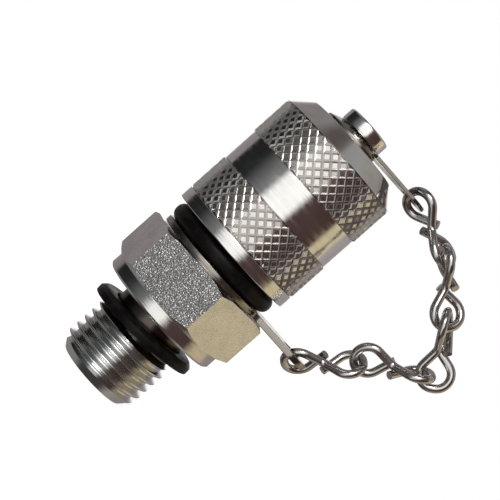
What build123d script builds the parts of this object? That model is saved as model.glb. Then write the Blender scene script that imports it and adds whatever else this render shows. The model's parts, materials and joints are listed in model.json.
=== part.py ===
from build123d import *
from math import asin, cos, degrees, radians, sin, tan
import os

os.makedirs("parts", exist_ok=True)

# A hydraulic test point: a check valve in a threaded housing, closed by a screw cap that hangs on a chain.
# Lengths are in millimetres and angles in degrees. The origin is the middle of the face that seats on the
# port, +Z runs up along the fitting to the cap, and +X points at the chain.

# Threaded stud
stud_major_d = 13.157
stud_length = 12.0
stud_relief_d = 11.0
stud_relief_length = 3.6
stud_runout = 0.9
stud_end_d = 10.5
stud_end_bevel = 1.6
inlet_d = 5.0
stud_seal_play = 0.3
stud_seal_width = 2.45
stud_seal_thickness = 1.5
stud_seal_taper = 0.6
stud_seal_drop = 2.47
stud_seal_tilt = 3.9

# Collar, hexagon and neck
collar_d = 19.0
collar_height = 1.9
collar_chamfer = 0.3
hex_across_flats = 19.0
hex_height = 7.3
hex_turn = 50.0
hex_edge_bevel = 0.45
neck_d = 13.2

# Ring round the neck, and the dust seal above it
ring_thickness = 0.9
ring_flange = 2.4
ring_clearance = 0.07
ring_lift = 0.15
ring_hole_reach = 15.3
ring_end_r = 3.0
ring_root_width = 7.0
ring_root_round = 1.5
dust_ring_width = 2.62
dust_ring_height = 2.6
dust_ring_gap = 0.05
dust_ring_facet = 0.75

# Outer thread of the housing, and the nose above it
cap_thread_d = 16.0
thread_clearance = 0.05
thread_start = 1.5
thread_length = 10.4
nose_wall = 1.6
nose_chamfer = 0.5

# Valve chamber and the stack of pieces in its mouth
chamber_floor = 2.0
chamber_d = 8.4
chamber_length = 17.0
seat_height = 4.5
probe_seal_height = 2.0
bush_height = 3.0
clip_thickness = 0.8
clip_play = 0.05
clip_groove_depth = 0.4
mouth_lip = 0.8
fit_clearance = 0.02

# Valve seat with its seal
seat_bore_d = 4.4
seat_cone_depth = 0.6
seat_groove_lift = 1.5
seat_groove_width = 1.6
seat_groove_depth = 1.2
seal_corner = 0.35

# Probe seal, guide bush and retaining clip
bush_bore_d = 6.6
bush_wall = 1.68
bush_chamfer = 0.4
probe_seal_width = 1.88
clip_width = 1.05
clip_opening = 62.0
clip_ear_r = 0.85
clip_ear_hole_d = 0.7
clip_ear_spread = 12.0

# Poppet with its seal and spring
poppet_clearance = 0.05
guide_height = 4.6
flute_count = 4
flute_r = 1.1
flute_depth = 0.75
head_d = 7.2
head_height = 1.2
boss_d = 4.6
boss_height = 0.8
boss_cone = 0.9
stem_d = 3.0
stem_below_mouth = 3.2
stem_chamfer = 0.3
spigot_d = 4.4
spigot_height = 1.2
poppet_seal_thickness = 1.2
poppet_seal_od = 7.0
seat_gap = 0.03
spring_wire = 0.8
spring_od = 7.2
spring_turns = 4
spring_wire_sides = 4
spring_end_gap = 0.06

# Screw cap
cap_wall = 2.0
cap_gap = 0.1
cap_foot_height = 1.86
cap_lower_grip = 6.01
cap_waist_height = 5.0
cap_waist_depth = 0.15
cap_upper_grip = 6.13
cap_bevel_height = 2.55
cap_bevel_width = 2.52
cap_mouth_chamfer = 0.6
cap_thread_depth = 12.6
cap_nose_gap = 0.5
gasket_thickness = 1.1
gasket_gap = 0.05
gasket_bore_d = 7.8
gasket_clearance = 0.15
rivet_hole_floor = 1.15

# Strap on the cap, and its rivet
strap_thickness = 0.5
strap_lift = 0.85
strap_flat_r = 3.4
strap_rim_r = 5.1
strap_rim_gap = 0.05
strap_opening = 90.0
strap_hole_reach = 10.4
strap_end_r = 2.6
strap_hole_clearance = 0.08
tab_hole_d = 3.0
rivet_shank_d = 3.2
rivet_shank_clearance = 0.03
rivet_head_d = 6.95
rivet_head_height = 1.85
rivet_head_gap = 0.1
rivet_head_round = 0.35
rivet_end_gap = 0.1

# Chain link: one wire bent into two loops that stand square to each other
link_wire = 1.2
link_length = 11.8
link_width = 5.3
link_gap = 0.12
link_tip = 0.4
link_end_bend = 2.0
link_middle_bend = 1.4
link_climb = 0.3
link_wire_sides = 10

# Heights that follow from the sizes above
hex_top = collar_height + hex_height
ring_bottom = hex_top + ring_lift
ring_top = ring_bottom + ring_thickness
dust_ring_bottom = ring_top + dust_ring_gap
cap_bottom = dust_ring_bottom + dust_ring_height + cap_gap
thread_bottom = cap_bottom + thread_start
thread_top = thread_bottom + thread_length
shelf = chamber_floor + chamber_length
seat_top = shelf + seat_height
bush_bottom = seat_top + probe_seal_height
bush_top = bush_bottom + bush_height
clip_bottom = bush_top + clip_play
groove_top = clip_bottom + clip_thickness + clip_play
housing_top = groove_top + mouth_lip
cap_ceiling = housing_top + gasket_gap + gasket_thickness
cap_grip_top = cap_bottom + cap_foot_height + cap_lower_grip + cap_waist_height + cap_upper_grip
cap_top = cap_grip_top + cap_bevel_height
strap_bottom = cap_top + strap_lift
strap_top = strap_bottom + strap_thickness

# Radii that follow
insert_r = bush_bore_d / 2 + bush_wall
mouth_r = insert_r + fit_clearance
nose_r = mouth_r + nose_wall
chamber_r = chamber_d / 2
neck_r = neck_d / 2
ring_r = neck_r + ring_flange
cap_thread_r = cap_thread_d / 2
male_thread_r = cap_thread_r - thread_clearance
cap_r = cap_thread_r + cap_wall
cap_upper_r = nose_r + cap_nose_gap
tab_hole_r = tab_hole_d / 2


# Housing: turned and milled from one hexagon bar
hex_flat_r = hex_across_flats / 2
hex_corner_r = hex_flat_r / cos(radians(30))
hex_bevel_height = (hex_corner_r - hex_flat_r) * tan(radians(30))
with BuildPart() as housing:
    with BuildSketch(Plane.XY.offset(collar_height)):
        RegularPolygon(hex_corner_r, 6, rotation=hex_turn)
    extrude(amount=hex_height)
    with BuildSketch(Plane.XZ):
        with BuildLine():
            Polyline(
                (0, collar_height),
                (hex_flat_r, collar_height),
                (hex_corner_r, collar_height + hex_bevel_height),
                (hex_corner_r, hex_top - hex_edge_bevel),
                (hex_corner_r - 2 * hex_edge_bevel, hex_top),
                (0, hex_top),
                close=True,
            )
        make_face()
    revolve(mode=Mode.INTERSECT)
    with BuildSketch(Plane.XZ):
        with BuildLine():
            Polyline(
                (0, -stud_length),
                (stud_end_d / 2, -stud_length),
                (stud_major_d / 2, -stud_length + stud_end_bevel),
                (stud_major_d / 2, -stud_relief_length - stud_runout),
                (stud_relief_d / 2, -stud_relief_length),
                (stud_relief_d / 2, 0),
                (collar_d / 2 - collar_chamfer, 0),
                (collar_d / 2, collar_chamfer),
                (collar_d / 2, collar_height),
                (neck_r, collar_height),
                (neck_r, thread_bottom + neck_r - male_thread_r),
                (male_thread_r, thread_bottom),
                (male_thread_r, thread_top - male_thread_r + nose_r),
                (nose_r, thread_top),
                (nose_r, housing_top - nose_chamfer),
                (nose_r - nose_chamfer, housing_top),
                (0, housing_top),
                close=True,
            )
        make_face()
    revolve()
    with BuildSketch(Plane.XZ):
        with BuildLine():
            Polyline(
                (0, -stud_length),
                (inlet_d / 2, -stud_length),
                (inlet_d / 2, chamber_floor),
                (chamber_r, chamber_floor),
                (chamber_r, shelf),
                (mouth_r, shelf),
                (mouth_r, bush_top),
                (mouth_r + clip_groove_depth, bush_top),
                (mouth_r + clip_groove_depth, groove_top),
                (mouth_r, groove_top),
                (mouth_r, housing_top),
                (0, housing_top),
                close=True,
            )
        make_face()
    revolve(mode=Mode.SUBTRACT)

housing.part.label = "housing"
export_step(housing.part, "parts/housing.step")


# Stud seal: a loose elastomer ring that has slipped down on the relief and lies a little askew
stud_seal_inner_r = stud_relief_d / 2 + stud_seal_play
stud_seal_outer_r = stud_seal_inner_r + stud_seal_width
with BuildPart() as stud_seal:
    with BuildSketch(Plane.XZ):
        with BuildLine():
            Polyline(
                (stud_seal_inner_r, -stud_seal_thickness / 2),
                (stud_seal_outer_r, -stud_seal_thickness / 2),
                (stud_seal_outer_r, stud_seal_thickness / 2 - stud_seal_taper),
                (stud_seal_outer_r - stud_seal_taper, stud_seal_thickness / 2),
                (stud_seal_inner_r, stud_seal_thickness / 2),
                close=True,
            )
        make_face()
    revolve()

stud_seal_place = Location((0, 0, -stud_seal_drop), (0, -stud_seal_tilt, 0))
stud_seal.part = stud_seal.part.moved(stud_seal_place)
stud_seal.part.label = "stud_seal"
export_step(stud_seal.part, "parts/stud_seal.step")


# Neck ring: stamped sheet, free to turn round the neck, with a tab for the chain
with BuildPart() as neck_ring:
    with BuildSketch(Plane.XY.offset(ring_bottom)):
        with BuildLine():
            Polyline(
                (0, -ring_root_width / 2),
                (ring_hole_reach, -ring_end_r),
                (ring_hole_reach, ring_end_r),
                (0, ring_root_width / 2),
                close=True,
            )
        make_face()
        with Locations((ring_hole_reach, 0)):
            Circle(ring_end_r)
        Circle(ring_r)
        roots = vertices().filter_by(lambda v: abs(Vector(v.X, v.Y).length - ring_r) < 0.01)
        fillet(roots.filter_by(lambda v: v.X > 0), ring_root_round)
        Circle(neck_r + ring_clearance, mode=Mode.SUBTRACT)
        with Locations((ring_hole_reach, 0)):
            Circle(tab_hole_r, mode=Mode.SUBTRACT)
    extrude(amount=ring_thickness)

neck_ring.part.label = "neck_ring"
export_step(neck_ring.part, "parts/neck_ring.step")


# Dust ring: a thick elastomer ring, flat against the neck, whose round outside is drawn in facets
with BuildPart() as dust_ring:
    with BuildSketch(Plane.XZ):
        with Locations((neck_r + dust_ring_width / 2, dust_ring_bottom + dust_ring_height / 2)):
            Rectangle(dust_ring_width, dust_ring_height)
        chamfer(vertices().group_by(Axis.X)[-1], dust_ring_facet)
    revolve(axis=Axis.Z)

dust_ring.part.label = "dust_ring"
export_step(dust_ring.part, "parts/dust_ring.step")


# Valve seat: a turned insert that rests on the shelf of the housing, with a groove for its seal
groove_low = shelf + seat_groove_lift
groove_high = groove_low + seat_groove_width
groove_r = insert_r - seat_groove_depth
with BuildPart() as valve_seat:
    with BuildSketch(Plane.XZ):
        with BuildLine():
            Polyline(
                (seat_bore_d / 2 + seat_cone_depth, shelf),
                (insert_r, shelf),
                (insert_r, groove_low),
                (groove_r, groove_low),
                (groove_r, groove_high),
                (insert_r, groove_high),
                (insert_r, seat_top),
                (seat_bore_d / 2 + seat_cone_depth, seat_top),
                (seat_bore_d / 2, seat_top - seat_cone_depth),
                (seat_bore_d / 2, shelf + seat_cone_depth),
                close=True,
            )
        make_face()
    revolve()

valve_seat.part.label = "valve_seat"
export_step(valve_seat.part, "parts/valve_seat.step")


# Seat seal: an elastomer ring squeezed nearly square in its groove
seal_height = seat_groove_width - 4 * fit_clearance
with BuildPart() as seat_seal:
    with BuildSketch(Plane.XZ):
        with Locations(((groove_r + insert_r) / 2, (groove_low + groove_high) / 2)):
            Rectangle(seat_groove_depth - 2 * fit_clearance, seal_height)
    revolve(axis=Axis.Z)

seat_seal.part.label = "seat_seal"
export_step(seat_seal.part, "parts/seat_seal.step")


# Probe seal: the elastomer ring that seals round the hose probe
with BuildPart() as probe_seal:
    with BuildSketch(Plane.XZ):
        with Locations((insert_r - probe_seal_width / 2, (seat_top + bush_bottom) / 2)):
            Rectangle(probe_seal_width, probe_seal_height)
        chamfer(vertices().group_by(Axis.X)[0], seal_corner)
    revolve(axis=Axis.Z)

probe_seal.part.label = "probe_seal"
export_step(probe_seal.part, "parts/probe_seal.step")


# Guide bush: centres the hose probe
with BuildPart() as guide_bush:
    with BuildSketch(Plane.XZ):
        with BuildLine():
            Polyline(
                (bush_bore_d / 2, bush_bottom),
                (insert_r, bush_bottom),
                (insert_r, bush_top),
                (bush_bore_d / 2 + bush_chamfer, bush_top),
                (bush_bore_d / 2, bush_top - bush_chamfer),
                close=True,
            )
        make_face()
    revolve()

guide_bush.part.label = "guide_bush"
export_step(guide_bush.part, "parts/guide_bush.step")


# Retaining clip: an open spring ring in the groove of the mouth, with two ears for the pliers
clip_outer_r = mouth_r + clip_groove_depth - clip_play
clip_inner_r = clip_outer_r - clip_width
ear_turn = clip_opening / 2 + clip_ear_spread
ear_places = [(clip_inner_r, ear_turn), (clip_inner_r, -ear_turn)]
with BuildPart() as retaining_clip:
    with BuildSketch(Plane.XY.offset(clip_bottom)):
        Circle(clip_outer_r)
        Circle(clip_inner_r, mode=Mode.SUBTRACT)
        with BuildLine():
            edge_x = 2 * clip_outer_r * cos(radians(clip_opening / 2))
            edge_y = 2 * clip_outer_r * sin(radians(clip_opening / 2))
            Polyline((0, 0), (edge_x, -edge_y), (edge_x, edge_y), close=True)
        make_face(mode=Mode.SUBTRACT)
        for reach, turn in ear_places:
            with Locations((reach * cos(radians(turn)), reach * sin(radians(turn)))):
                Circle(clip_ear_r)
                Circle(clip_ear_hole_d / 2, mode=Mode.SUBTRACT)
    extrude(amount=clip_thickness)

retaining_clip.part.label = "retaining_clip"
export_step(retaining_clip.part, "parts/retaining_clip.step")


# Poppet: a fluted guide, a head that carries the seal, and the pin that the hose probe pushes
head_top = shelf - seat_gap - poppet_seal_thickness
guide_top = head_top - head_height
guide_bottom = guide_top - guide_height
guide_r = chamber_r - poppet_clearance
stem_top = housing_top - stem_below_mouth
with BuildPart() as poppet:
    with BuildSketch(Plane.XZ):
        with BuildLine():
            Polyline(
                (0, guide_bottom - spigot_height),
                (spigot_d / 2, guide_bottom - spigot_height),
                (spigot_d / 2, guide_bottom),
                (guide_r, guide_bottom),
                (guide_r, guide_top),
                (head_d / 2, guide_top),
                (head_d / 2, head_top),
                (boss_d / 2, head_top),
                (boss_d / 2, head_top + boss_height),
                (stem_d / 2, head_top + boss_height + boss_cone),
                (stem_d / 2, stem_top - stem_chamfer),
                (stem_d / 2 - stem_chamfer, stem_top),
                (0, stem_top),
                close=True,
            )
        make_face()
    revolve()
    with BuildSketch(Plane.XY.offset(guide_bottom)):
        with PolarLocations(guide_r - flute_depth + flute_r, flute_count):
            Circle(flute_r)
    extrude(amount=guide_height, mode=Mode.SUBTRACT)

poppet.part.label = "poppet"
export_step(poppet.part, "parts/poppet.step")


# Poppet seal: lies on the head, round the boss, and closes against the valve seat
with BuildPart() as poppet_seal:
    with BuildSketch(Plane.XY.offset(head_top)):
        Circle(poppet_seal_od / 2)
        Circle(boss_d / 2 + fit_clearance, mode=Mode.SUBTRACT)
    extrude(amount=poppet_seal_thickness)

poppet_seal.part.label = "poppet_seal"
export_step(poppet_seal.part, "parts/poppet_seal.step")


# Valve spring: stands on the floor of the chamber and holds the poppet up
spring_low = chamber_floor + spring_wire / 2 + spring_end_gap
spring_high = guide_bottom - spring_wire / 2 - spring_end_gap
spring_r = (spring_od - spring_wire) / 2
with BuildPart() as valve_spring:
    with BuildLine(Plane.XY.offset(spring_low)):
        coil = Helix(
            pitch=(spring_high - spring_low) / spring_turns,
            height=spring_high - spring_low,
            radius=spring_r,
        )
    with BuildSketch(Plane(origin=coil @ 0, z_dir=coil % 0)):
        RegularPolygon(spring_wire / 2, spring_wire_sides)
    sweep()

valve_spring.part.label = "valve_spring"
export_step(valve_spring.part, "parts/valve_spring.step")


# Screw cap: its two grip bands are knurled on the real one, with a plain waist between them
waist_low = cap_bottom + cap_foot_height + cap_lower_grip
waist_high = waist_low + cap_waist_height
waist_r = cap_r - cap_waist_depth
thread_end = cap_bottom + cap_thread_depth
rivet_hole_r = rivet_shank_d / 2 + rivet_shank_clearance
with BuildPart() as cap:
    with BuildSketch(Plane.XZ):
        with BuildLine():
            Polyline(
                (cap_thread_r + cap_mouth_chamfer, cap_bottom),
                (cap_r, cap_bottom),
                (cap_r, waist_low),
                (waist_r, waist_low),
                (waist_r, waist_high),
                (cap_r, waist_high),
                (cap_r, cap_grip_top),
                (cap_r - cap_bevel_width, cap_top),
                (rivet_hole_r, cap_top),
                (rivet_hole_r, cap_ceiling + rivet_hole_floor),
                (0, cap_ceiling + rivet_hole_floor),
                (0, cap_ceiling),
                (cap_upper_r, cap_ceiling),
                (cap_upper_r, thread_end),
                (cap_thread_r, thread_end),
                (cap_thread_r, cap_bottom + cap_mouth_chamfer),
                close=True,
            )
        make_face()
    revolve()

cap.part.label = "cap"
export_step(cap.part, "parts/cap.step")


# Cap gasket: a sealing ring held in the end of the cap, just clear of the mouth of the housing
with BuildPart() as cap_gasket:
    with BuildSketch(Plane.XY.offset(cap_ceiling - gasket_thickness)):
        Circle(cap_upper_r - gasket_clearance)
        Circle(gasket_bore_d / 2, mode=Mode.SUBTRACT)
    extrude(amount=gasket_thickness)

cap_gasket.part.label = "cap_gasket"
export_step(cap_gasket.part, "parts/cap_gasket.step")


# Cap strap: stamped sheet with a raised flat middle, a dished rim that stands on the cap, and a tab
rim_bottom = cap_top + strap_rim_gap
rim_half = strap_rim_r * sin(radians(strap_opening / 2))
rim_inner_r = strap_flat_r - strap_thickness
with BuildPart() as cap_strap:
    with BuildSketch(Plane.XY.offset(strap_bottom)):
        Circle(strap_flat_r)
        with BuildLine():
            Polyline(
                (0, 0),
                (rim_half, -rim_half),
                (strap_hole_reach, -strap_end_r),
                (strap_hole_reach, strap_end_r),
                (rim_half, rim_half),
                close=True,
            )
        make_face()
        with Locations((strap_hole_reach, 0)):
            Circle(strap_end_r)
    extrude(amount=strap_thickness)
    with BuildSketch(Plane.XZ.rotated((0, 0, strap_opening / 2))):
        with BuildLine():
            Polyline(
                (rim_inner_r, strap_bottom),
                (strap_flat_r, strap_bottom),
                (strap_rim_r, rim_bottom),
                (strap_rim_r, rim_bottom + strap_thickness),
                (strap_flat_r, strap_top),
                (rim_inner_r, strap_top),
                close=True,
            )
        make_face()
    revolve(axis=Axis.Z, revolution_arc=360 - strap_opening)
    with BuildSketch(Plane.XY.offset(strap_bottom)):
        Circle(rivet_shank_d / 2 + strap_hole_clearance)
        with Locations((strap_hole_reach, 0)):
            Circle(tab_hole_r)
    extrude(amount=strap_thickness, mode=Mode.SUBTRACT)

cap_strap.part.label = "cap_strap"
export_step(cap_strap.part, "parts/cap_strap.step")


# Cap rivet: its head holds the strap, and its shank sits in a blind hole of the cap
rivet_bottom = cap_ceiling + rivet_hole_floor + rivet_end_gap
rivet_head_bottom = strap_top + rivet_head_gap
with BuildPart() as cap_rivet:
    with BuildSketch(Plane.XY.offset(rivet_bottom)):
        Circle(rivet_shank_d / 2)
    extrude(amount=rivet_head_bottom - rivet_bottom)
    with BuildSketch(Plane.XY.offset(rivet_head_bottom)):
        Circle(rivet_head_d / 2)
    extrude(amount=rivet_head_height)
    chamfer(edges().group_by(Axis.Z)[-1], rivet_head_round)

cap_rivet.part.label = "cap_rivet"
export_step(cap_rivet.part, "parts/cap_rivet.step")


# Chain link: from one end of the wire, round the first loop, across the middle and round the second loop.
# Local x runs along the link, y lies in the first loop and z in the second.
half = (link_length - link_wire) / 2
half_width = (link_width - link_wire) / 2
slant = degrees(asin(half_width / (half - half_width)))
corner = half * tan(radians(slant))
cross = link_wire + link_gap
tip_x = link_tip * cos(radians(slant))
tip_y = link_tip * sin(radians(slant))
link_route = [
    (tip_x, tip_y, -cross),
    (-half, -corner, -(1 - link_climb) * cross),
    (-half, corner, -link_climb * cross),
    (0, 0, 0),
    (half, -link_climb * cross, corner),
    (half, -(1 - link_climb) * cross, -corner),
    (-tip_x, -cross, tip_y),
]
link_bends = [link_end_bend, link_end_bend, link_middle_bend, link_end_bend, link_end_bend]

# How each link hangs. Its middle is measured from the line that joins the holes of the two tabs: the share
# of the way up that line, then how far out and how far towards +Y, both in link lengths. Its turns are the
# lean up from +X, the swing towards +Y and the roll about its own length.
link_places = [
    (0.164, 0.373, 0, 35, -2, 62),
    (0.356, 1.046, -0.017, 40, 0, 20),
    (0.584, 1.331, -0.085, 132, -2, -6),
    (0.824, 0.957, -0.102, 147, 4, 21),
    (0.975, 0.413, -0.068, 172, -2, 51),
]
low_hole = Vector(ring_hole_reach, 0, (ring_bottom + ring_top) / 2)
high_hole = Vector(strap_hole_reach, 0, (strap_bottom + strap_top) / 2)

for number, (share, out, aside, lean, swing, roll) in enumerate(link_places, start=1):
    middle = low_hole + (high_hole - low_hole) * share + Vector(out, aside, 0) * link_length
    upright = Plane(middle, x_dir=(1, 0, 0), z_dir=(0, -1, 0))
    lie = upright.rotated((-lean, swing, roll), ordering=Intrinsic.YZX)
    with BuildPart() as chain_link:
        with BuildLine(lie):
            wire_line = FilletPolyline(*link_route, radius=link_bends)
        with BuildSketch(Plane(origin=wire_line @ 0, z_dir=wire_line % 0)):
            RegularPolygon(link_wire / 2, link_wire_sides)
        sweep()
    chain_link.part.label = f"chain_link_{number}"
    export_step(chain_link.part, f"parts/chain_link_{number}.step")
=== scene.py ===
# %% [markdown]
# # A hydraulic test fitting with its screw cap and chain
#
# The real object is a check valve in a threaded hexagon housing. A knurled cap closes it, and a short chain
# of bent wire links keeps the cap from getting lost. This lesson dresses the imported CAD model: the model
# gives every place and size, and Blender adds what the eye wants, such as the cut thread, the knurl, round
# wire, soft edges and the plating.
#
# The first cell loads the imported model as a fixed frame. Lengths in this file are millimetres until a mesh
# is finished, because the sizes of such a part are easier to read so, and each mesh is scaled to metres once.

# %% Load the frame
import json
from math import asin, atan2, cos, degrees, pi, radians, sin, tan

import bmesh
import bpy
from mathutils import Matrix, Vector


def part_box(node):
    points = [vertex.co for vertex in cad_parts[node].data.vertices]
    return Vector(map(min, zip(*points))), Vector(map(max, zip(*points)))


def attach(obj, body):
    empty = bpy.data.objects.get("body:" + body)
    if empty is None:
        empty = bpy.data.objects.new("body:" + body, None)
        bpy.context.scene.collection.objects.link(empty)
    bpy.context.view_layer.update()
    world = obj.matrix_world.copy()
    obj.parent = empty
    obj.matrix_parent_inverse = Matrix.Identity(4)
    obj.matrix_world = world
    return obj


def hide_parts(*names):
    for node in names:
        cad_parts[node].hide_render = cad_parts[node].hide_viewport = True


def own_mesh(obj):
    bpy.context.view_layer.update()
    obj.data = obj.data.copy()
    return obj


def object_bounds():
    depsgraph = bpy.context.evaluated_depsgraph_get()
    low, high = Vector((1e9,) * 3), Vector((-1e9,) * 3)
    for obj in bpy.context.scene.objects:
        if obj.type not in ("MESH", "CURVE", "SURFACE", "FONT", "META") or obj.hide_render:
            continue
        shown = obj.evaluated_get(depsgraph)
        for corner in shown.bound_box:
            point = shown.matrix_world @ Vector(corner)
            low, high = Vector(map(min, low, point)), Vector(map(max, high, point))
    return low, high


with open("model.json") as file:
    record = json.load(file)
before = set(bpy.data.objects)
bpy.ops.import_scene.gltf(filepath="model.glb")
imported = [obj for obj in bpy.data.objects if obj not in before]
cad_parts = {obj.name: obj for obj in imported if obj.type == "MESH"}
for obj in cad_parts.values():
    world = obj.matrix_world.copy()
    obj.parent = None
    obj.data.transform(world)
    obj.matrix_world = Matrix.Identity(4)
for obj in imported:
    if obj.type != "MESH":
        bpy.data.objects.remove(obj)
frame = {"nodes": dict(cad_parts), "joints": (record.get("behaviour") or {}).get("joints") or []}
cad_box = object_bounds()
MM = 0.001
pivots = {joint["name"]: Vector(joint["pos_m"]) / MM for joint in frame["joints"] if "pos_m" in joint}
print("nodes", len(frame["nodes"]), "pivots", sorted(pivots))

# %% [markdown]
# ## Finishes
#
# Nearly everything is plated steel, and what tells one piece from another is how it was made: turned faces
# keep fine rings round the axis, the hexagon keeps the coarse grain of the drawn bar, sheet is smooth, and
# wire is the glossiest. So each finish is one metal with its own marks. The marks are bump and roughness
# from noise in object coordinates, so they stay on the metal when a piece moves.
#
# Four small helpers keep the node trees readable: they start a material with its shader, add a node and
# join it up, spread a value over a range, and raise marks as bump.

# %% Helpers for the finishes
def start_finish(name, colour, metallic, roughness):
    material = bpy.data.materials.new(name)
    material.use_nodes = True
    tree = material.node_tree
    shader = tree.nodes["Principled BSDF"]
    shader.inputs["Base Color"].default_value = (*colour, 1)
    shader.inputs["Metallic"].default_value = metallic
    shader.inputs["Roughness"].default_value = roughness
    place = tree.nodes.new("ShaderNodeTexCoord").outputs["Object"]
    return material, tree, shader, place


def add_node(tree, kind, inputs=None, **settings):
    node = tree.nodes.new(kind)
    for key, value in settings.items():
        setattr(node, key, value)
    for key, value in (inputs or {}).items():
        if isinstance(value, bpy.types.NodeSocket):
            tree.links.new(value, node.inputs[key])
        else:
            node.inputs[key].default_value = value
    return node


def spread(tree, value, low, high, from_low=0.0, from_high=1.0):
    ranged = add_node(tree, "ShaderNodeMapRange", {
        "Value": value, "From Min": from_low, "From Max": from_high, "To Min": low, "To Max": high})
    return ranged.outputs["Result"]


def raise_marks(tree, shader, height, distance, strength=1.0, below=None):
    inputs = {"Height": height, "Distance": distance, "Strength": strength}
    if below is not None:
        inputs["Normal"] = below
    bump = add_node(tree, "ShaderNodeBump", inputs)
    tree.links.new(bump.outputs["Normal"], shader.inputs["Normal"])
    return bump.outputs["Normal"]


# %% [markdown]
# ### Turned steel
#
# A lathe tool leaves a fine spiral that looks like rings. On a cylinder the rings follow the height, and on
# an end face they follow the radius, so the sum of the two drives one-dimensional noise and serves both. A
# second noise in space breaks the rings up and lets the plating vary a little in gloss and tint.

# %% Turned steel
def ring_distance(tree, place):
    flat = add_node(tree, "ShaderNodeVectorMath", {0: place, 1: (1, 1, 0)}, operation="MULTIPLY")
    radius = add_node(tree, "ShaderNodeVectorMath", {0: flat.outputs[0]}, operation="LENGTH")
    split = add_node(tree, "ShaderNodeSeparateXYZ", {0: place})
    total = add_node(tree, "ShaderNodeMath", {
        0: radius.outputs["Value"], 1: split.outputs["Z"]}, operation="ADD")
    return total.outputs[0]


def turned_finish(name, colour, roughness, mark_depth, ring_scale=5200.0, streak=0.10):
    material, tree, shader, place = start_finish(name, colour, 1.0, roughness)
    rings = add_node(tree, "ShaderNodeTexNoise", {
        "W": ring_distance(tree, place), "Scale": ring_scale, "Detail": 3.0, "Roughness": 0.6},
        noise_dimensions="1D")
    broad = add_node(tree, "ShaderNodeTexNoise", {
        "W": ring_distance(tree, place), "Scale": ring_scale * 0.22, "Detail": 2.0}, noise_dimensions="1D")
    patches = add_node(tree, "ShaderNodeTexNoise", {"Vector": place, "Scale": 420.0, "Detail": 4.0})
    mixed = add_node(tree, "ShaderNodeMath", {
        0: broad.outputs["Fac"], 1: patches.outputs["Fac"]}, operation="MULTIPLY")
    gloss = spread(tree, mixed.outputs[0], roughness - streak, roughness + streak, 0.12, 0.42)
    tree.links.new(gloss, shader.inputs["Roughness"])
    tint = add_node(tree, "ShaderNodeValToRGB", {"Fac": patches.outputs["Fac"]})
    tint.color_ramp.elements[0].position = 0.3
    tint.color_ramp.elements[0].color = (*[c * 0.86 for c in colour], 1)
    tint.color_ramp.elements[1].position = 0.7
    tint.color_ramp.elements[1].color = (*colour, 1)
    tree.links.new(tint.outputs["Color"], shader.inputs["Base Color"])
    below = raise_marks(tree, shader, rings.outputs["Fac"], mark_depth, 0.6)
    raise_marks(tree, shader, broad.outputs["Fac"], mark_depth * 2.2, 0.5, below)
    return material


plated_steel = turned_finish("plated_turned_steel", (0.70, 0.69, 0.67), 0.15, 0.000010, streak=0.07)
# painted shade: a near-black copy of the turned steel for the neck, which lies in the shade of the seal and
# the collar
neck_painted_shade_steel = turned_finish("turned_neck_painted_shade", (0.10, 0.085, 0.075), 0.2, 0.000003, streak=0.06)
knurl_steel = turned_finish("knurled_steel", (0.62, 0.60, 0.58), 0.17, 0.0000005, streak=0.04)
thread_steel = turned_finish("plated_thread_steel", (0.64, 0.65, 0.64), 0.16, 0.0000006, 6000.0, streak=0.04)
valve_steel = turned_finish("bare_turned_steel", (0.56, 0.56, 0.57), 0.3, 0.000004)
print("turned finishes", [m.name for m in bpy.data.materials])

# %% [markdown]
# ### The grain of the hexagon
#
# The flats of the hexagon are the skin of the bar, blasted and plated. In the photo one flat has a coarse
# grain whose tops catch the light as bright specks, and the flats beside it are smoother, with a few dark
# pits. Here the two kinds take turns all the way round, which is a guess for the flats that the photo hides.
# Voronoi cells give each grain its own tilt, fine noise roughens it, and a colour ramp with a steep step
# picks out the specks or the pits. On the coarse flats both colours are painted light: the base is darkened
# as painted shade, and the near-white specks are painted glints.

# %% Grainy steel of the hexagon
def grain_finish(name, plain, pits_or_painted_glints, step, roughness, bump_depth):
    material, tree, shader, place = start_finish(name, plain, 1.0, roughness)
    grains = add_node(tree, "ShaderNodeTexVoronoi", {"Vector": place, "Scale": 4300.0, "Randomness": 1.0})
    speck = add_node(tree, "ShaderNodeTexNoise", {
        "Vector": place, "Scale": 6600.0, "Detail": 1.0, "Roughness": 0.5})
    cloud = add_node(tree, "ShaderNodeTexNoise", {"Vector": place, "Scale": 380.0, "Detail": 3.0})
    # this ramp paints the specks: on the coarse flats near-white painted glints over a base darkened as
    # painted shade, on the smoother flats dark pits
    shade = add_node(tree, "ShaderNodeValToRGB", {"Fac": speck.outputs["Fac"]})
    shade.color_ramp.elements[0].position = step
    shade.color_ramp.elements[0].color = (*plain, 1)
    shade.color_ramp.elements[1].position = step + 0.07
    shade.color_ramp.elements[1].color = (*pits_or_painted_glints, 1)
    soft = spread(tree, cloud.outputs["Fac"], 0.86, 1.0, 0.3, 0.6)
    tinted = add_node(tree, "ShaderNodeMix", {"Factor": 1.0, "A": shade.outputs["Color"], "B": soft},
                      data_type="RGBA", blend_type="MULTIPLY")
    tree.links.new(tinted.outputs["Result"], shader.inputs["Base Color"])
    gloss = spread(tree, grains.outputs["Distance"], roughness - 0.06, roughness + 0.12, 0.1, 0.7)
    tree.links.new(gloss, shader.inputs["Roughness"])
    below = raise_marks(tree, shader, grains.outputs["Distance"], bump_depth, 0.7)
    raise_marks(tree, shader, speck.outputs["Fac"], bump_depth, 0.7, below)
    return material


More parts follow.
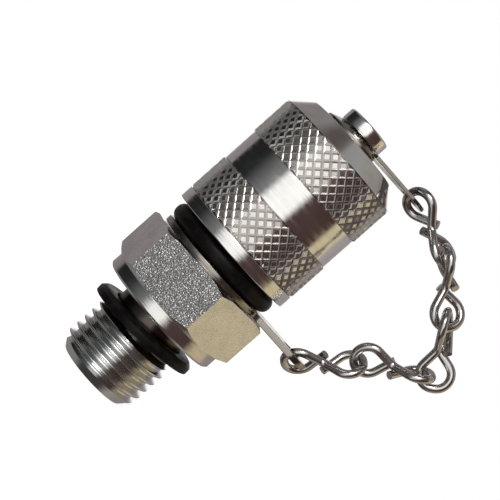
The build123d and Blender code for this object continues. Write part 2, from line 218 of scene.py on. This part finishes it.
# painted light on the coarse flats: the base colour is darkened as painted shade, and the near-white specks
# are painted glints
coarse_steel_painted_light = grain_finish("coarse_blasted_steel_painted_shade_glints", plain=(0.19, 0.185, 0.185), pits_or_painted_glints=(0.95, 0.94, 0.92),
                            step=0.585, roughness=0.34, bump_depth=0.00006)
fine_steel = grain_finish("fine_blasted_steel", plain=(0.74, 0.73, 0.71), pits_or_painted_glints=(0.42, 0.38, 0.33),
                          step=0.66, roughness=0.27, bump_depth=0.000012)
print("grain finishes", coarse_steel_painted_light.name, fine_steel.name)

# %% [markdown]
# ### Sheet, wire, spring and rubber
#
# Rolled sheet has a soft, even gloss with faint scratches one way. Drawn wire is the glossiest metal here
# and has dull spots scattered over it. The seals are black rubber with a satin skin and a little dust.

# %% Sheet, wire, spring and rubber
def sheet_finish(name, colour, roughness, mark_depth):
    material, tree, shader, place = start_finish(name, colour, 1.0, roughness)
    along = add_node(tree, "ShaderNodeMapping", {"Vector": place, "Scale": (1.0, 9.0, 9.0)})
    scratches = add_node(tree, "ShaderNodeTexNoise", {
        "Vector": along.outputs["Vector"], "Scale": 700.0, "Detail": 5.0, "Roughness": 0.7})
    patches = add_node(tree, "ShaderNodeTexNoise", {"Vector": place, "Scale": 600.0, "Detail": 4.0})
    gloss = spread(tree, patches.outputs["Fac"], roughness - 0.08, roughness + 0.14, 0.3, 0.7)
    tree.links.new(gloss, shader.inputs["Roughness"])
    tint = add_node(tree, "ShaderNodeValToRGB", {"Fac": patches.outputs["Fac"]})
    tint.color_ramp.elements[0].position = 0.35
    tint.color_ramp.elements[0].color = (*[c * 0.8 for c in colour], 1)
    tint.color_ramp.elements[1].position = 0.65
    tint.color_ramp.elements[1].color = (*colour, 1)
    tree.links.new(tint.outputs["Color"], shader.inputs["Base Color"])
    raise_marks(tree, shader, scratches.outputs["Fac"], mark_depth, 0.6)
    return material


def rubber_finish(name):
    material, tree, shader, place = start_finish(name, (0.006, 0.005, 0.005), 0.0, 0.42)
    shader.inputs["Specular IOR Level"].default_value = 0.1
    skin = add_node(tree, "ShaderNodeTexNoise", {"Vector": place, "Scale": 2600.0, "Detail": 3.0})
    dust = add_node(tree, "ShaderNodeTexNoise", {"Vector": place, "Scale": 700.0, "Detail": 5.0})
    shade = add_node(tree, "ShaderNodeValToRGB", {"Fac": dust.outputs["Fac"]})
    shade.color_ramp.elements[0].position = 0.45
    shade.color_ramp.elements[0].color = (0.004, 0.0035, 0.0035, 1)
    shade.color_ramp.elements[1].position = 0.8
    shade.color_ramp.elements[1].color = (0.014, 0.012, 0.011, 1)
    tree.links.new(shade.outputs["Color"], shader.inputs["Base Color"])
    tree.links.new(spread(tree, dust.outputs["Fac"], 0.32, 0.5, 0.3, 0.7), shader.inputs["Roughness"])
    raise_marks(tree, shader, skin.outputs["Fac"], 0.00002, 0.5)
    return material


sheet_steel = sheet_finish("plated_sheet_steel", (0.33, 0.30, 0.27), 0.2, 0.000008)
wire_steel = sheet_finish("bright_wire_steel", (0.54, 0.52, 0.51), 0.13, 0.000005)
spring_steel = sheet_finish("drawn_spring_steel", (0.45, 0.45, 0.47), 0.3, 0.000006)
seal_rubber = rubber_finish("black_seal_rubber")
print("finishes", [m.name for m in bpy.data.materials])

# %% [markdown]
# ## From bmesh to a finished piece
#
# Every piece goes the same way: its bmesh is scaled from millimetres to metres and becomes an object at the
# origin; it is hung on the body it rides on, it gets its finish, and the CAD node it stands for is hidden.
# Edges sharper than the limit are marked sharp, and weighted normals keep flat faces flat beside their soft
# edges.

# %% Finish a piece
def finish_piece(bm, name, body, node, finish, sharp=32.0, more_finishes=()):
    bmesh.ops.remove_doubles(bm, verts=bm.verts, dist=0.0004)
    bmesh.ops.scale(bm, vec=(MM, MM, MM), verts=bm.verts)
    mesh = bpy.data.meshes.new(name)
    bm.to_mesh(mesh)
    bm.free()
    piece = bpy.data.objects.new(name, mesh)
    bpy.context.scene.collection.objects.link(piece)
    for one in (finish, *more_finishes):
        mesh.materials.append(one)
    mesh.polygons.foreach_set("use_smooth", [True] * len(mesh.polygons))
    mesh.set_sharp_from_angle(angle=radians(sharp))
    even = piece.modifiers.new("flat faces stay flat", "WEIGHTED_NORMAL")
    even.keep_sharp = True
    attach(piece, body)
    if node is not None:
        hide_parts(node)
    print(name, "faces", len(mesh.polygons))
    return piece


# %% [markdown]
# A turned piece is a closed outline spun about Z. The outline is a ring of vertices in the XZ plane; each
# corner gets its own small radius with a vertex bevel before the spin, which is cheaper and rounder than
# bevelling the finished solid.

# %% Spin an outline with soft corners
def spin_outline(corners, steps=144, segments=4):
    bm = bmesh.new()
    ring = [bm.verts.new((radius, 0, height)) for radius, height, _ in corners]
    for here, there in zip(ring, ring[1:] + ring[:1]):
        bm.edges.new((here, there))
    for vertex, (_, _, soft) in zip(ring, corners):
        if soft:
            bmesh.ops.bevel(bm, geom=[vertex], offset=soft, offset_type="OFFSET", segments=segments,
                            profile=0.5, affect="VERTICES", material=-1)
    bmesh.ops.spin(bm, geom=bm.verts[:] + bm.edges[:], cent=(0, 0, 0), axis=(0, 0, 1), dvec=(0, 0, 0),
                   angle=2 * pi, steps=steps, use_merge=True, use_duplicate=False)
    bmesh.ops.remove_doubles(bm, verts=bm.verts, dist=0.0005)
    bmesh.ops.recalc_face_normals(bm, faces=bm.faces)
    return bm


# %% [markdown]
# Where the CAD node already has the right form, a copy of its mesh is merged, its flat triangles are joined
# into whole faces, and its sharp edges get a narrow bevel that catches the light. The node itself is left
# as it is and hidden behind the copy.

# %% Dress a copy of a CAD node
def copy_of_node(node):
    bm = bmesh.new()
    bm.from_mesh(frame["nodes"][node].data)
    bmesh.ops.scale(bm, vec=(1 / MM, 1 / MM, 1 / MM), verts=bm.verts)
    bmesh.ops.remove_doubles(bm, verts=bm.verts, dist=0.0005)
    bmesh.ops.dissolve_limit(bm, angle_limit=radians(0.6), verts=bm.verts, edges=bm.edges)
    return bm


def soften_edges(bm, width, limit=30.0, segments=3):
    folds = [edge for edge in bm.edges if len(edge.link_faces) == 2]
    sharp = [edge for edge in folds if edge.calc_face_angle() > radians(limit)]
    bmesh.ops.bevel(bm, geom=sharp, offset=width, offset_type="OFFSET", segments=segments, profile=0.5,
                    affect="EDGES", clamp_overlap=True, material=-1)


# %% [markdown]
# ## The stud and its thread
#
# A thread is one tooth profile that climbs one pitch with every turn. In Blender a spin with a small step
# along the axis does just that: the outline of a single tooth, as high as the pitch, is spun for nine turns,
# and each turn's top edge meets the next turn's bottom edge. Two planes then trim the ends, and every point
# that stands outside the chamfer of the end or the run-out at the neck is drawn in to it. Root and crest are
# rounded, as on a pipe thread.

# %% Cut the thread
thread_pitch = 1.337
thread_major_r = 13.157 / 2
thread_minor_r = 11.445 / 2
stud_bottom = -12.0
thread_top = -3.6
relief_r = 5.5
stud_end_r = 5.25
end_chamfer_height = 1.6
runout_height = 0.9
inlet_r = 2.5


def tooth_profile():
    bend_r = 0.137 * thread_pitch
    half = thread_pitch / 2
    arc = [(bend_r * (1 - cos(radians(turn))), bend_r * sin(radians(turn))) for turn in (0, 21, 42, 62.5)]
    root = [(thread_minor_r + rise, along) for rise, along in arc]
    crest = [(thread_major_r - drop, half - along) for drop, along in reversed(arc)]
    return root + crest + [(radius, thread_pitch - along) for radius, along in reversed(root + crest[:-1])]


def thread_bmesh():
    bm = bmesh.new()
    start = stud_bottom - 1.5 * thread_pitch
    chain = [bm.verts.new((radius, 0, start + height)) for radius, height in tooth_profile()]
    for here, there in zip(chain, chain[1:]):
        bm.edges.new((here, there))
    steps = 96
    turns = 9
    bmesh.ops.spin(bm, geom=bm.verts[:] + bm.edges[:], cent=(0, 0, 0), axis=(0, 0, 1),
                   dvec=(0, 0, thread_pitch / steps), angle=2 * pi * turns, steps=steps * turns,
                   use_merge=False, use_duplicate=False)
    bmesh.ops.remove_doubles(bm, verts=bm.verts, dist=0.001)
    for height, direction in ((stud_bottom, -1), (thread_top, 1)):
        bmesh.ops.bisect_plane(bm, geom=bm.verts[:] + bm.edges[:] + bm.faces[:], dist=0.0001,
                               plane_co=(0, 0, height), plane_no=(0, 0, direction), clear_outer=True)
    return bm


def draw_in(bm):
    for vertex in bm.verts:
        radius = Vector(vertex.co.xy).length
        up_chamfer = (vertex.co.z - stud_bottom) / end_chamfer_height
        chamfer = stud_end_r + up_chamfer * (thread_major_r - stud_end_r)
        down_runout = (thread_top - vertex.co.z) / runout_height
        runout = relief_r + down_runout * (thread_major_r - relief_r)
        allowed = min(chamfer, runout)
        if radius > allowed:
            bmesh.ops.scale(bm, vec=(allowed / radius, allowed / radius, 1), verts=[vertex])


def close_stud(bm, bore_r):
    for height in (stud_bottom, thread_top):
        open_edges = [edge for edge in bm.edges if edge.is_boundary]
        rim = [edge for edge in open_edges if all(abs(v.co.z - height) < 0.001 for v in edge.verts)]
        grown = bmesh.ops.extrude_edge_only(bm, edges=rim)["geom"]
        moved = [part for part in grown if isinstance(part, bmesh.types.BMVert)]
        for vertex in moved:
            shrink = bore_r / Vector(vertex.co.xy).length
            bmesh.ops.scale(bm, vec=(shrink, shrink, 1), verts=[vertex])
    bmesh.ops.remove_doubles(bm, verts=bm.verts, dist=0.001)
    bores = [edge for edge in bm.edges if edge.is_boundary]
    bmesh.ops.bridge_loops(bm, edges=bores)
    bmesh.ops.recalc_face_normals(bm, faces=bm.faces)


threads = thread_bmesh()
draw_in(threads)
close_stud(threads, inlet_r)
finish_piece(threads, "threaded_stud", "root", "housing", thread_steel, 40.0)
print("thread", thread_pitch, "mm pitch,", round(2 * thread_major_r, 3), "mm over its crests")

# %% [markdown]
# ## The body of the housing
#
# Above the thread the housing keeps the form of its CAD node: the relief, the collar, the hexagon with its
# chamfered corners and the neck. A plane cuts the copy where the thread ends. Flats of the hexagon are large
# faces with level normals, about 9.5 mm from the axis; the way each one points tells the coarse ones from
# the fine ones. The narrow neck under the collar lies in the shade of the seal and the collar, and that
# shade is painted: the neck has a near-black copy of the turned steel.

# %% Body of the housing
body = copy_of_node("housing")
bmesh.ops.bisect_plane(body, geom=body.verts[:] + body.edges[:] + body.faces[:], dist=0.0001,
                       plane_co=(0, 0, thread_top), plane_no=(0, 0, -1), clear_outer=True)
open_rims = [edge for edge in body.edges if edge.is_boundary]
bmesh.ops.bridge_loops(body, edges=open_rims)
soften_edges(body, 0.10)
flat_distance = 9.5
flats = []
for face in body.faces:
    middle = face.calc_center_median()
    level = abs(face.normal.z) < 0.02 and 2.3 < middle.z < 9.0
    if level and abs(abs(face.normal.dot(middle)) - flat_distance) < 0.04 and face.calc_area() > 30:
        heading = round(degrees(atan2(face.normal.x, -face.normal.y)))
        # index 1 is the coarse copy with painted shade and painted glints, index 2 the smoother steel
        face.material_index = 1 if round((heading + 10) / 60) % 2 == 0 else 2
        flats.append((heading, face.material_index))
    # painted shade: the faces of the neck under the collar take the near-black copy of the steel (slot 3)
    elif middle.z < -0.02 and Vector(middle.xy).length > 3.0:
        face.material_index = 3
print("flats and their finish", sorted(flats))
finish_piece(body, "housing_body", "root", "housing", plated_steel, 24.0,
             (coarse_steel_painted_light, fine_steel, neck_painted_shade_steel))

# %% [markdown]
# ## Seals
#
# The stud seal is a loose ring of rubber that lies askew on the relief. It is spun flat and then turned and
# lowered to where the CAD node lies. The dust ring is plump: its outside is a deep round.

# %% Stud seal and dust ring
seal_bore_r = 5.8
seal_r = 8.25
seal_half = 0.75
seal_bevel = 0.6
seal_tilt = 3.9
seal_drop = 2.47
seal = spin_outline([
    (seal_bore_r, -seal_half, 0.12), (seal_r, -seal_half, 0.12), (seal_r, seal_half - seal_bevel, 0.10),
    (seal_r - seal_bevel, seal_half, 0.14), (seal_bore_r, seal_half, 0.12)])
askew = Matrix.Rotation(radians(-seal_tilt), 3, "Y")
bmesh.ops.rotate(seal, cent=(0, 0, 0), matrix=askew, verts=seal.verts)
bmesh.ops.translate(seal, vec=(0, 0, -seal_drop), verts=seal.verts)
finish_piece(seal, "rubber_stud_seal", "root", "stud_seal", seal_rubber)

dust_low, dust_high = [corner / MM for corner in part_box("dust_ring")]
dust_bore_r = 6.6
dust_round = 1.22
dust_ring = spin_outline([
    (dust_bore_r, dust_low.z, 0.1), (dust_high.x, dust_low.z, dust_round),
    (dust_high.x, dust_high.z, dust_round), (dust_bore_r, dust_high.z, 0.1)], segments=8)
finish_piece(dust_ring, "rubber_dust_ring", "root", "dust_ring", seal_rubber, 40.0)

# %% [markdown]
# ## Sheet pieces
#
# The neck ring and the strap are stamped from sheet. Their CAD nodes have the true outline and holes, so
# copies with soft edges are enough.

# %% Neck ring and strap
neck_ring = copy_of_node("neck_ring")
soften_edges(neck_ring, 0.12)
finish_piece(neck_ring, "stamped_neck_ring", "neck_ring", "neck_ring", sheet_steel, 24.0)

strap = copy_of_node("cap_strap")
soften_edges(strap, 0.08)
finish_piece(strap, "stamped_cap_strap", "strap", "cap_strap", sheet_steel, 24.0)

# %% [markdown]
# ## The cap
#
# The cap is turned from bar: a plain foot, a knurled band, a plain waist, a second knurled band and a long
# bevel up to the flat top. The spun outline leaves the two bands sunk, and the knurl is laid over them.

# %% Turn the cap
cap_bottom = 13.0
foot_top = 14.86
lower_grip_top = 20.87
waist_top = 25.87
upper_grip_top = 32.0
cap_top = 34.55
cap_r = 10.0
waist_r = 9.85
grip_floor_r = 9.7
bevel_end_r = 7.48
rivet_hole_r = 1.63
rivet_hole_floor = 32.5
cap_ceiling = 31.35
gasket_room_r = 7.18
bore_step = 25.6
cap_bore_r = 8.0
mouth_r = 8.6
mouth_top = 13.6
cap = spin_outline([
    (mouth_r, cap_bottom, 0.05), (cap_r, cap_bottom, 0.16), (cap_r, foot_top, 0.08),
    (grip_floor_r, foot_top, 0), (grip_floor_r, lower_grip_top, 0), (waist_r, lower_grip_top, 0.04),
    (waist_r, waist_top, 0.04), (grip_floor_r, waist_top, 0), (grip_floor_r, upper_grip_top, 0),
    (cap_r, upper_grip_top, 0.05), (bevel_end_r, cap_top, 0.12), (rivet_hole_r, cap_top, 0.05),
    (rivet_hole_r, rivet_hole_floor, 0), (0, rivet_hole_floor, 0), (0, cap_ceiling, 0),
    (gasket_room_r, cap_ceiling, 0), (gasket_room_r, bore_step, 0), (cap_bore_r, bore_step, 0),
    (cap_bore_r, mouth_top, 0)], steps=176)
finish_piece(cap, "turned_cap", "cap", "cap", plated_steel, 28.0)

# %% [markdown]
# ### The knurl
#
# A knurling wheel presses crossed grooves into the metal and leaves rows of small diamonds. A square grid
# gives them in four moves: poke every square, dissolve the square's own edges so that diamonds are left,
# inset every diamond by itself, and sink the border that the inset leaves. The flat sheet is then bent round
# the cap: the way along the grid becomes the way round.

# %% Press the knurl
def knurl_sheet(low, high, around, rows, groove_width, groove_depth, crest_r):
    bm = bmesh.new()
    bmesh.ops.create_grid(bm, x_segments=around, y_segments=rows, size=0.5)
    old_edges = [edge for edge in bm.edges if not edge.is_boundary]
    bmesh.ops.poke(bm, faces=bm.faces[:])
    bmesh.ops.dissolve_edges(bm, edges=old_edges, use_verts=False)
    crests = bm.faces[:]
    bmesh.ops.scale(bm, vec=(2 * pi * crest_r, high - low, 1), verts=bm.verts)
    bmesh.ops.inset_individual(bm, faces=crests, thickness=groove_width / 2, depth=0.0, use_even_offset=True)
    tops = set(v for face in crests for v in face.verts)
    for vertex in bm.verts:
        turn = vertex.co.x / crest_r
        radius = crest_r if vertex in tops else crest_r - groove_depth
        vertex.co = (radius * sin(turn), -radius * cos(turn), vertex.co.y + (low + high) / 2)
    bmesh.ops.remove_doubles(bm, verts=bm.verts, dist=0.001)
    bmesh.ops.recalc_face_normals(bm, faces=bm.faces)
    return bm


for band, low, high in (("lower", foot_top, lower_grip_top), ("upper", waist_top, upper_grip_top)):
    sheet = knurl_sheet(low, high, around=42, rows=4, groove_width=0.48, groove_depth=0.27, crest_r=cap_r)
    finish_piece(sheet, band + "_knurl", "cap", "cap", knurl_steel, 20.0)

# %% [markdown]
# ## Rivet
#
# The rivet is a plain turned head with a crisp rim, and its shank goes down into the cap.

# %% Rivet
rivet_low, rivet_high = [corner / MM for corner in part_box("cap_rivet")]
shank_r = 1.6
head_r = 3.475
head_bottom = 36.0
rivet = spin_outline([
    (0, rivet_low.z, 0), (shank_r, rivet_low.z, 0.1), (shank_r, head_bottom, 0), (head_r, head_bottom, 0.1),
    (head_r, rivet_high.z, 0.32), (0, rivet_high.z, 0)], steps=96)
finish_piece(rivet, "cap_rivet_head", "rivet", "cap_rivet", plated_steel)

# %% [markdown]
# ## The chain
#
# Each link is one wire, bent into two loops that stand square to each other. The route is a few straight
# runs joined by round bends. A Bezier curve makes it well: every bend is one span between two points whose
# handles have the length that gives a round arc, and the bevel of the curve is the wire.

# %% Bend a wire
link_wire = 1.2
link_length = 11.8
loop_width = 5.3
link_half = (link_length - link_wire) / 2
loop_half = (loop_width - link_wire) / 2
slant = asin(loop_half / (link_half - loop_half))
corner = link_half * tan(slant)
strand_gap = 0.12
cross = link_wire + strand_gap
end_overlap = 0.4
tip = Vector((end_overlap * cos(slant), end_overlap * sin(slant), 0))
link_route = [
    Vector((tip.x, tip.y, -cross)), Vector((-link_half, -corner, -0.7 * cross)),
    Vector((-link_half, corner, -0.3 * cross)), Vector((0, 0, 0)), Vector((link_half, -0.3 * cross, corner)),
    Vector((link_half, -0.7 * cross, -corner)), Vector((-tip.x, -cross, tip.y))]
bend_radii = [2.0, 2.0, 1.4, 2.0, 2.0]


def bent_wire(name, route, radii, wire):
    line = bpy.data.curves.new(name, "CURVE")
    line.dimensions = "3D"
    line.bevel_depth = wire / 2
    line.bevel_resolution = 6
    line.resolution_u = 14
    line.use_fill_caps = True
    stops = [(route[0], route[0], route[0])]
    for before, at, after, radius in zip(route, route[1:], route[2:], radii):
        inward = (before - at).normalized()
        outward = (after - at).normalized()
        turn = pi - inward.angle(outward)
        reach = radius * tan(turn / 2)
        handle = 4 / 3 * tan(turn / 4) * radius
        first = at + inward * reach
        last = at + outward * reach
        stops.append((first, first + inward * 0.01, first - inward * handle))
        stops.append((last, last - outward * handle, last + outward * 0.01))
    stops.append((route[-1], route[-1], route[-1]))
    spline = line.splines.new("BEZIER")
    spline.bezier_points.add(len(stops) - 1)
    for point, (at, left, right) in zip(spline.bezier_points, stops):
        point.handle_left_type = point.handle_right_type = "FREE"
        point.co = at
        point.handle_left = left
        point.handle_right = right
    return line


# %% [markdown]
# All five links are the same wire, and each has its own place, told from the line between the two holes
# where the chain ends: how far up that line its middle is, and how far out and aside of it in link lengths.
# Three turns follow: its lean, its swing and its roll. The first link hangs a little lower than its CAD
# node, so that its loop goes through the hole of the tab and round the tab's tip.

# %% Hang the links
link_places = [
    (0.0964, 0.3937, 0.0375, 53.2, -5.4, 41.6),
    (0.356, 1.046, -0.017, 40, 0, 20),
    (0.584, 1.331, -0.085, 132, -2, -6),
    (0.824, 0.957, -0.102, 147, 4, 21),
    (0.975, 0.413, -0.068, 172, -2, 51)]
low_hole = pivots["link_1_swing"]
high_hole = pivots["link_5_swing"]
upright = Matrix(((1, 0, 0), (0, 0, -1), (0, 1, 0)))
wire_curve = bent_wire("link_wire_line", link_route, bend_radii, link_wire)
wire_object = bpy.data.objects.new("link_wire_line", wire_curve)
bpy.context.scene.collection.objects.link(wire_object)
bpy.context.view_layer.update()
wire_mesh = bpy.data.meshes.new_from_object(wire_object)
for number, (share, out, aside, lean, swing, roll) in enumerate(link_places, start=1):
    middle = low_hole.lerp(high_hole, share) + Vector((out, aside, 0)) * link_length
    turned = (Matrix.Rotation(radians(-lean), 3, "Y") @ Matrix.Rotation(radians(swing), 3, "Z")
              @ Matrix.Rotation(radians(roll), 3, "X"))
    link = bmesh.new()
    link.from_mesh(wire_mesh)
    bmesh.ops.transform(link, matrix=(turned @ upright).to_4x4(), verts=link.verts)
    bmesh.ops.translate(link, vec=middle, verts=link.verts)
    node = "chain_link_" + str(number)
    piece = finish_piece(link, "wire_link_" + str(number), "link_" + str(number), node, wire_steel,
                         40.0)
    node_low, node_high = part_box(node)
    piece_low = Vector([min(v.co[axis] for v in piece.data.vertices) for axis in range(3)])
    piece_high = Vector([max(v.co[axis] for v in piece.data.vertices) for axis in range(3)])
    off = (*(piece_low - node_low), *(piece_high - node_high))
    print(node, "box off by", [round(d / MM, 2) for d in off])
bpy.data.objects.remove(wire_object)

# %% [markdown]
# ## The valve spring
#
# The spring is round wire wound in a helix, so a circle spun with a step along the axis makes it, as the
# thread was made. It stands on the floor of the housing; when the valve opens, the real spring gets shorter
# towards that floor by as much as the valve moves.

# %% Wind the spring
def wind_spring(low, high, coil_r, wire, turns, steps=28):
    bm = bmesh.new()
    bmesh.ops.create_circle(bm, cap_ends=False, segments=10, radius=wire / 2)
    bmesh.ops.rotate(bm, cent=(0, 0, 0), matrix=Matrix.Rotation(pi / 2, 3, "X"), verts=bm.verts)
    bmesh.ops.translate(bm, vec=(coil_r, 0, low + wire / 2), verts=bm.verts)
    climb = (high - low - wire) / (turns * steps)
    bmesh.ops.spin(bm, geom=bm.verts[:] + bm.edges[:], cent=(0, 0, 0), axis=(0, 0, 1), dvec=(0, 0, climb),
                   angle=2 * pi * turns, steps=steps * turns, use_merge=False, use_duplicate=False)
    bmesh.ops.holes_fill(bm, edges=[edge for edge in bm.edges if edge.is_boundary])
    bmesh.ops.recalc_face_normals(bm, faces=bm.faces)
    return bm


spring_low, spring_high = [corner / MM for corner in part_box("valve_spring")]
spring_wire = 0.8
spring_turns = 4
coil = wind_spring(spring_low.z, spring_high.z, spring_high.x - spring_wire / 2, spring_wire, spring_turns)
spring = finish_piece(coil, "wound_valve_spring", "root", "valve_spring", spring_steel, 60.0)
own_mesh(spring)

# %% [markdown]
# ## Pieces inside
#
# The other parts of the valve and the gasket of the cap are hidden at rest. Their CAD nodes have the right
# form already, so they only get their finishes.

# %% Finish the inner pieces
inner_finishes = {
    "valve_seat": valve_steel, "guide_bush": valve_steel, "poppet": valve_steel,
    "retaining_clip": spring_steel, "seat_seal": seal_rubber, "probe_seal": seal_rubber,
    "poppet_seal": seal_rubber, "cap_gasket": seal_rubber}
for node, finish in inner_finishes.items():
    slots = frame["nodes"][node].data.materials
    slots.clear()
    slots.append(finish)
print("inner pieces", len(inner_finishes))

# %% [markdown]
# ## Light and floor
#
# Plated steel shows what stands round it, so the studio is what makes it look like steel: a bright soft
# window near the camera, dark screens beside it, warm board to the right, and grey board with a second
# window behind. Each ring below gives the tones round the axis of the fitting, by angle, for one band of
# height.

# %% Tones of the studio
side_tones = [
    (-180, (1.2, 1.19, 1.17)), (-168, (1.2, 1.19, 1.17)), (-161, (0.36, 0.32, 0.33)),
    (-124, (0.33, 0.3, 0.31)), (-119, (0.02, 0.02, 0.02)), (-80, (0.025, 0.028, 0.028)),
    (-72, (0.06, 0.065, 0.065)), (-36, (0.3, 0.3, 0.31)), (-27, (1.5, 1.5, 1.48)),
    (14, (1.6, 1.58, 1.56)), (23, (0.1, 0.06, 0.055)), (80, (0.08, 0.045, 0.04)),
    (86, (0.8, 0.69, 0.45)), (114, (0.84, 0.73, 0.48)), (121, (0.48, 0.43, 0.44)),
    (161, (0.38, 0.34, 0.35)), (168, (1.2, 1.19, 1.17)), (180, (1.2, 1.19, 1.17))]
low_tones = [
    (-180, (0.3, 0.27, 0.27)), (-120, (0.26, 0.24, 0.24)), (-112, (0.02, 0.02, 0.02)),
    (-70, (0.03, 0.034, 0.034)), (-60, (0.07, 0.08, 0.08)), (-26, (0.24, 0.25, 0.25)),
    (-16, (1.2, 1.2, 1.2)), (8, (1.2, 1.18, 1.15)), (16, (0.1, 0.065, 0.06)),
    (68, (0.08, 0.055, 0.05)), (78, (0.58, 0.48, 0.31)), (118, (0.62, 0.51, 0.34)),
    (128, (0.34, 0.3, 0.29)), (180, (0.26, 0.23, 0.23))]
ceiling_tones = [
    (-180, (0.34, 0.31, 0.31)), (-120, (0.14, 0.12, 0.115)), (-60, (0.07, 0.06, 0.055)),
    (60, (0.12, 0.1, 0.1)), (110, (0.4, 0.4, 0.4)), (150, (0.46, 0.46, 0.46)),
    (180, (0.36, 0.33, 0.33))]
slope_tones = [
    (-180, (0.26, 0.24, 0.24)), (-125, (0.3, 0.28, 0.28)), (-80, (0.4, 0.39, 0.38)),
    (-60, (0.12, 0.12, 0.12)), (-25, (0.24, 0.24, 0.24)), (-8, (0.9, 0.88, 0.86)),
    (8, (0.9, 0.88, 0.86)), (22, (0.2, 0.17, 0.16)), (60, (0.12, 0.09, 0.08)),
    (80, (0.46, 0.42, 0.36)), (120, (0.42, 0.39, 0.34)), (150, (0.3, 0.28, 0.28)),
    (180, (0.26, 0.24, 0.24))]
table_tone = (0.07, 0.06, 0.058)
print("tones", len(side_tones), len(low_tones), len(ceiling_tones), len(slope_tones))

# %% [markdown]
# A world shader blends the rings by height, from the table up to the ceiling. Only reflections and light see
# them: the camera itself sees white paper, as in the photo.

# %% Blend the rings into a world
def tone_ring(tree, around, tones):
    ramp = add_node(tree, "ShaderNodeValToRGB", {"Fac": around})
    while len(ramp.color_ramp.elements) < len(tones):
        ramp.color_ramp.elements.new(0.5)
    for element, (angle, tone) in zip(ramp.color_ramp.elements, tones):
        element.position = (angle + 180) / 360
        element.color = (*tone, 1)
    return ramp.outputs["Color"]


world = bpy.data.worlds.new("studio")
bpy.context.scene.world = world
world.use_nodes = True
tree = world.node_tree
look = tree.nodes.new("ShaderNodeTexCoord").outputs["Generated"]
split = add_node(tree, "ShaderNodeSeparateXYZ", {0: look})
away = add_node(tree, "ShaderNodeMath", {0: split.outputs["Y"], 1: -1.0}, operation="MULTIPLY")
turn = add_node(tree, "ShaderNodeMath", {0: split.outputs["X"], 1: away.outputs[0]}, operation="ARCTAN2")
around = spread(tree, turn.outputs[0], 0.0, 1.0, -pi, pi)
whole = (*table_tone, 1)
height_bands = [
    (-0.95, -0.85, slope_tones), (-0.55, -0.42, low_tones), (-0.12, -0.04, side_tones),
    (0.35, 0.50, slope_tones), (0.85, 0.95, ceiling_tones)]
for starts_at, full_at, tones in height_bands:
    share = spread(tree, split.outputs["Z"], 0.0, 1.0, starts_at, full_at)
    band = add_node(tree, "ShaderNodeMix", {"Factor": share, "A": whole, "B": tone_ring(tree, around, tones)},
                    data_type="RGBA")
    whole = band.outputs["Result"]
ray = tree.nodes.new("ShaderNodeLightPath")
paper = add_node(tree, "ShaderNodeBackground", {"Color": (1, 1, 1, 1), "Strength": 1.0})
room = tree.nodes["Background"]
tree.links.new(whole, room.inputs["Color"])
chosen = add_node(tree, "ShaderNodeMixShader", {
    0: ray.outputs["Is Camera Ray"], 1: room.outputs[0], 2: paper.outputs[0]})
tree.links.new(chosen.outputs[0], tree.nodes["World Output"].inputs["Surface"])
print("world bands", len(height_bands))

# %% [markdown]
# The floor is a white disc just under the lowest point. It glows for the camera only, so that it looks as
# white as the paper round it. It is left out of reflections, because the metal in the photo doesn't mirror
# white paper.

# %% Floor
floor_r = 0.5
floor_gap = 0.0001
disc = bmesh.new()
bmesh.ops.create_circle(disc, cap_ends=True, segments=96, radius=floor_r)
bmesh.ops.translate(disc, vec=(0, 0, cad_box[0][2] - floor_gap), verts=disc.verts)
floor_mesh = bpy.data.meshes.new("floor")
disc.to_mesh(floor_mesh)
disc.free()
floor = bpy.data.objects.new("floor", floor_mesh)
bpy.context.scene.collection.objects.link(floor)
paper_white, paper_tree, paper_shader, _ = start_finish("white_paper", (0.9, 0.9, 0.9), 0.0, 0.9)
paper_shader.inputs["Emission Color"].default_value = (1, 1, 1, 1)
paper_ray = paper_tree.nodes.new("ShaderNodeLightPath")
glow = spread(paper_tree, paper_ray.outputs["Is Camera Ray"], 0.0, 0.75)
paper_tree.links.new(glow, paper_shader.inputs["Emission Strength"])
floor_mesh.materials.append(paper_white)
floor.visible_glossy = False
print("floor", round(floor_gap / MM, 2), "mm under the lowest point")

# %% [markdown]
# ## Camera
#
# The photograph was taken with a long lens from the side, a little above the middle, and turned so that the
# fitting points up to the right. The camera looks along its own back axis, and its roll gives the tilt.

# %% Camera
eye = Vector((0.0016, -0.194, 0.02187))
target = Vector((0.0016, 0.0, 0.01497))
roll = radians(48.46)
back = (eye - target).normalized()
level_right = Vector((0, 0, 1)).cross(back).normalized()
level_up = back.cross(level_right)
right = level_right * cos(roll) + level_up * sin(roll)
up = level_up * cos(roll) - level_right * sin(roll)
camera_data = bpy.data.cameras.new("camera")
camera_data.lens = 104.4
camera_data.sensor_width = 36
camera_data.clip_start = 0.01
camera = bpy.data.objects.new("camera", camera_data)
camera.matrix_world = Matrix.Translation(eye) @ Matrix((right, up, back)).transposed().to_4x4()
bpy.context.scene.collection.objects.link(camera)
bpy.context.scene.camera = camera
print("camera right", [round(c, 4) for c in right], "up", [round(c, 4) for c in up])

# %% [markdown]
# One weak round lamp above and in front gives the rubber its soft highlight and the floor a faint shadow.

# %% Soft lamp
lamp_place = Vector((-0.05, -0.30, 0.22))
lit_point = Vector((0, 0, 0.015))
lamp_data = bpy.data.lights.new("key_lamp", "AREA")
lamp_data.shape = "DISK"
lamp_data.size = 0.16
lamp_data.energy = 0.5
lamp = bpy.data.objects.new("key_lamp", lamp_data)
lamp_turn = (lamp_place - lit_point).to_track_quat("Z", "Y").to_matrix().to_4x4()
lamp.matrix_world = Matrix.Translation(lamp_place) @ lamp_turn
bpy.context.scene.collection.objects.link(lamp)
bpy.context.scene.view_settings.view_transform = "Standard"
print("lamp", lamp_data.energy, "W,", round(lamp_data.size, 2), "m across")
